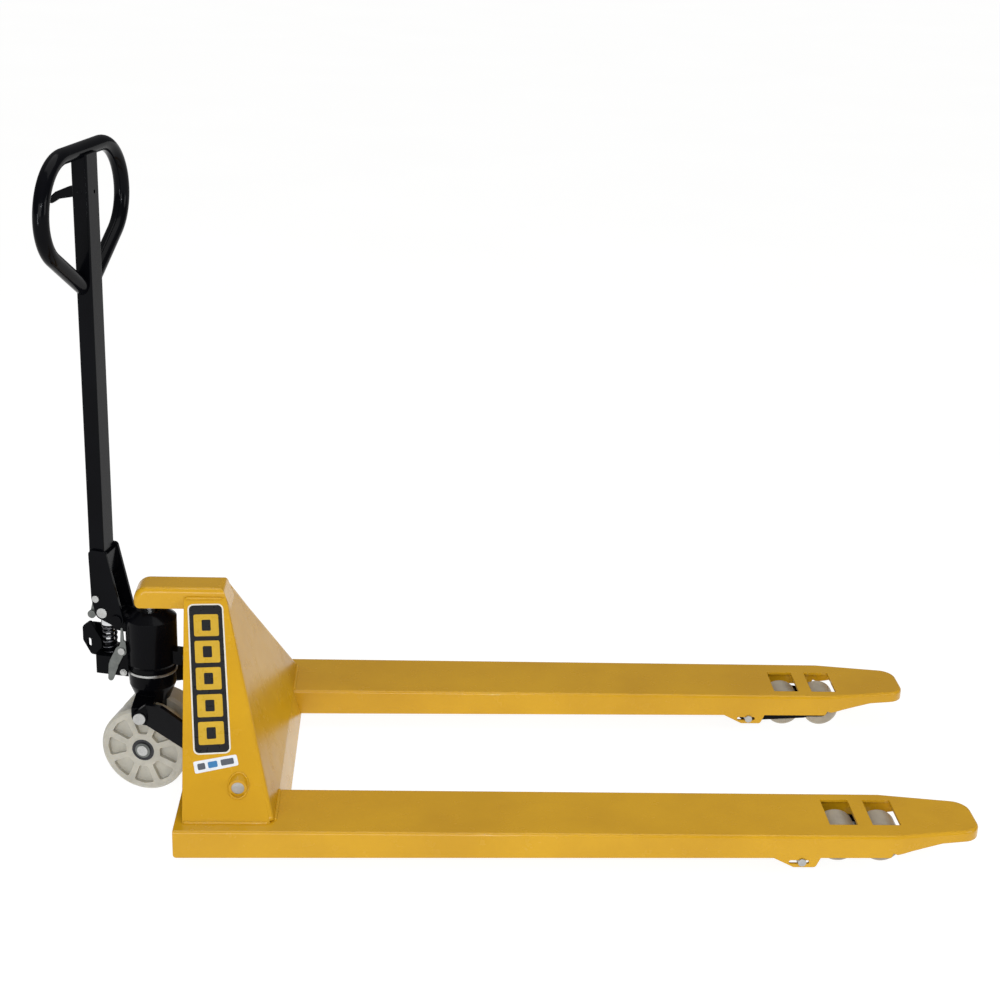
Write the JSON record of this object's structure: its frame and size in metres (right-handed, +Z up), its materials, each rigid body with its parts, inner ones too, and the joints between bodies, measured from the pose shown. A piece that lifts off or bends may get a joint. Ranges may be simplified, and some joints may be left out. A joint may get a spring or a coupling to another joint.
{
  "type": "pallet jack",
  "caption": "Hand pallet jack: twin forks with load rollers, steered hydraulic pump unit and a tilting drawbar with a loop grip.",
  "frame": {"origin": "middle of the footprint, on the floor under the wheels", "axes": "+X towards the fork tips, +Y to the left of somebody facing the fork tips, +Z up"},
  "size_m": [1.6066, 0.691, 1.163],
  "materials": {
    "yellow_paint": "yellow gloss enamel",
    "yellow_plate": "yellow gloss enamel, thinner coat",
    "black_paint": "black gloss enamel",
    "black_trim": "black, smooth",
    "nylon": "cast nylon, off-white",
    "zinc": "zinc-plated steel",
    "bright_steel": "ground and chromed steel"
  },
  "bodies": {
    "frame": {"fork_left": "yellow_paint", "fork_right": "yellow_paint", "side_plate_left": "yellow_paint", "side_plate_right": "yellow_paint", "front_plate": "yellow_paint", "cross_plate": "yellow_plate", "hood": "yellow_paint", "rocker_shaft": "zinc", "shaft_bosses": "yellow_paint", "ram_pad": "zinc", "ram": "bright_steel", "bracket_shaft_left": "zinc", "bracket_shaft_right": "zinc", "side_panels": "black_trim"},
    "seat": {"bearing_seat": "black_paint"},
    "pump": {"pump_body": "black_paint", "piston_housing": "black_paint", "pump_valves": "zinc", "wheel_axle": "zinc", "axle_clips": "zinc", "thrust_bearing": "zinc", "handle_pivot_pin": "black_trim", "release_pin": "zinc"},
    "handle": {"handle_base": "black_paint", "handle_pins": "zinc", "pressure_roller": "bright_steel", "chain_pulley": "zinc", "drawbar": "black_paint", "handle_loop": "black_paint", "finger_lever_pin": "black_trim"},
    "piston": {"pump_piston": "bright_steel", "piston_spring": "zinc"},
    "finger": {"finger_lever": "black_trim"},
    "pull_rod": {"control_rod": "zinc"},
    "release": {"release_lever": "zinc"},
    "steer_wheel_l": {"steer_wheel_left": "nylon", "wheel_bearings_left": "zinc"},
    "steer_wheel_r": {"steer_wheel_right": "nylon", "wheel_bearings_right": "zinc"},
    "rocker": {"rocker": "black_paint", "rocker_pins": "zinc"},
    "rod_l": {"push_rod_left": "black_paint"},
    "bracket_l": {"roller_bracket_left": "black_paint", "bracket_pins_left": "zinc"},
    "bogie_l": {"bogie_left": "black_paint", "roller_axles_left": "zinc"},
    "roller_l_rear": {"load_roller_left_rear": "nylon"},
    "roller_l_front": {"load_roller_left_front": "nylon"},
    "rod_r": {"push_rod_right": "black_paint"},
    "bracket_r": {"roller_bracket_right": "black_paint", "bracket_pins_right": "zinc"},
    "bogie_r": {"bogie_right": "black_paint", "roller_axles_right": "zinc"},
    "roller_r_rear": {"load_roller_right_rear": "nylon"},
    "roller_r_front": {"load_roller_right_front": "nylon"}
  },
  "joints": [
    {"name": "lift", "type": "slide", "parent": "seat", "child": "frame", "axis": [0, 0, 1], "range_m": [0, 0.11]},
    {"name": "steer", "type": "hinge", "parent": "seat", "child": "pump", "pos_m": [-0.65268, 0, 0.2], "axis": [0, 0, 1], "range_deg": [-76, 104]},
    {"name": "handle_tilt", "type": "hinge", "parent": "pump", "child": "handle", "pos_m": [-0.70508, 0.01306, 0.318], "axis": [-0.2419, -0.9703, 0], "range_deg": [0, 70], "stiffness_Nm_per_rad": 16, "springref_deg": -17.19},
    {"name": "piston", "type": "slide", "parent": "pump", "child": "piston", "axis": [0, 0, -1], "range_m": [0, 0.036], "deforming": ["piston_spring"]},
    {"name": "finger_lever", "type": "hinge", "parent": "handle", "child": "finger", "pos_m": [-0.73904, 0.02153, 1.084], "axis": [0.2419, 0.9703, 0], "range_deg": [-14, 17]},
    {"name": "pull_rod", "type": "slide", "parent": "handle", "child": "pull_rod", "axis": [0, 0, -1], "range_m": [-0.00147, 0.00183], "stiffness_N_per_m": 2000, "springref_m": -0.0004},
    {"name": "release_lever", "type": "hinge", "parent": "pump", "child": "release", "pos_m": [-0.70287, -0.02356, 0.262], "axis": [0.2419, 0.9703, 0], "range_deg": [-10, 12]},
    {"name": "steer_wheel_left_spin", "type": "hinge", "parent": "pump", "child": "steer_wheel_l", "pos_m": [-0.64422, 0.03396, 0.08], "axis": [0.2419, 0.9703, 0], "continuous": true},
    {"name": "steer_wheel_right_spin", "type": "hinge", "parent": "pump", "child": "steer_wheel_r", "pos_m": [-0.66115, -0.03396, 0.08], "axis": [0.2419, 0.9703, 0], "continuous": true},
    {"name": "rocker", "type": "hinge", "parent": "frame", "child": "rocker", "pos_m": [-0.47468, 0, 0.127], "axis": [0, -1, 0], "range_deg": [0, 33.11]},
    {"name": "push_rod_left", "type": "hinge", "parent": "rocker", "child": "rod_l", "pos_m": [-0.49371, 0.236, 0.06297], "axis": [0, 1, 0], "range_deg": [0, 33.11]},
    {"name": "roller_bracket_left", "type": "hinge", "parent": "frame", "child": "bracket_l", "pos_m": [0.48832, 0.259, 0.03], "axis": [0, 1, 0], "range_deg": [0, 68.11]},
    {"name": "bogie_left", "type": "hinge", "parent": "bracket_l", "child": "bogie_l", "pos_m": [0.60282, 0.259, 0.036], "axis": [0, -1, 0], "range_deg": [0, 68.11]},
    {"name": "load_roller_left_rear_spin", "type": "hinge", "parent": "bogie_l", "child": "roller_l_rear", "pos_m": [0.56507, 0.259, 0.035], "axis": [0, 1, 0], "continuous": true},
    {"name": "load_roller_left_front_spin", "type": "hinge", "parent": "bogie_l", "child": "roller_l_front", "pos_m": [0.64057, 0.259, 0.035], "axis": [0, 1, 0], "continuous": true},
    {"name": "push_rod_right", "type": "hinge", "parent": "rocker", "child": "rod_r", "pos_m": [-0.49371, -0.236, 0.06297], "axis": [0, 1, 0], "range_deg": [0, 33.11]},
    {"name": "roller_bracket_right", "type": "hinge", "parent": "frame", "child": "bracket_r", "pos_m": [0.48832, -0.259, 0.03], "axis": [0, 1, 0], "range_deg": [0, 68.11]},
    {"name": "bogie_right", "type": "hinge", "parent": "bracket_r", "child": "bogie_r", "pos_m": [0.60282, -0.259, 0.036], "axis": [0, -1, 0], "range_deg": [0, 68.11]},
    {"name": "load_roller_right_rear_spin", "type": "hinge", "parent": "bogie_r", "child": "roller_r_rear", "pos_m": [0.56507, -0.259, 0.035], "axis": [0, 1, 0], "continuous": true},
    {"name": "load_roller_right_front_spin", "type": "hinge", "parent": "bogie_r", "child": "roller_r_front", "pos_m": [0.64057, -0.259, 0.035], "axis": [0, 1, 0], "continuous": true}
  ],
  "couplings": [
    {"joint": "rocker", "follows": "lift", "rad_per_m": 5.2526},
    {"joint": "piston", "follows": "handle_tilt", "m_per_rad": 0.0285},
    {"joint": "finger_lever", "follows": "pull_rod", "rad_per_m": 142.86},
    {"joint": "release_lever", "follows": "pull_rod", "rad_per_m": 85.714},
    {"joint": "push_rod_left", "follows": "lift", "rad_per_m": 5.2526},
    {"joint": "roller_bracket_left", "follows": "lift", "rad_per_m": 10.805},
    {"joint": "bogie_left", "follows": "lift", "rad_per_m": 10.805},
    {"joint": "push_rod_right", "follows": "lift", "rad_per_m": 5.2526},
    {"joint": "roller_bracket_right", "follows": "lift", "rad_per_m": 10.805},
    {"joint": "bogie_right", "follows": "lift", "rad_per_m": 10.805}
  ]
}
